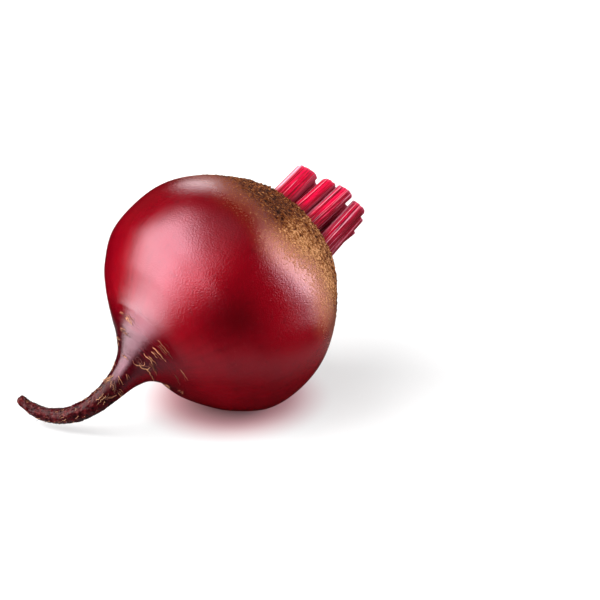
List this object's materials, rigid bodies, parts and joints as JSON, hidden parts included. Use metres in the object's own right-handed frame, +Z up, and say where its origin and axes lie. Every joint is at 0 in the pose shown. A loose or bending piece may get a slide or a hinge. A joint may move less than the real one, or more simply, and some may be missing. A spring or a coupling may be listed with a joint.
{
  "type": "beetroot",
  "caption": "Whole round beetroot lying on its side, with a bent tapering tail root and leaf stalks cut short at the crown.",
  "frame": {"origin": "middle of the small flat spot the beetroot rests on, at the underside of the bulb", "axes": "+Z up from the flat spot, +X towards the crown and its cut leaf stalks, the tail root points to -X and curves towards +Y"},
  "size_m": [0.1104, 0.0773, 0.0761],
  "materials": {
    "beet_skin": "satin",
    "leaf_stalk": "satin"
  },
  "bodies": {
    "root": {"root": "beet_skin", "leaf_stalk_1": "leaf_stalk", "leaf_stalk_2": "leaf_stalk", "leaf_stalk_3": "leaf_stalk", "leaf_stalk_4": "leaf_stalk", "leaf_stalk_5": "leaf_stalk", "leaf_stalk_6": "leaf_stalk", "leaf_stalk_7": "leaf_stalk", "leaf_stalk_8": "leaf_stalk", "leaf_stalk_9": "leaf_stalk", "leaf_stalk_10": "leaf_stalk", "leaf_stalk_11": "leaf_stalk", "leaf_stalk_12": "leaf_stalk", "leaf_stalk_13": "leaf_stalk"}
  },
  "joints": []
}
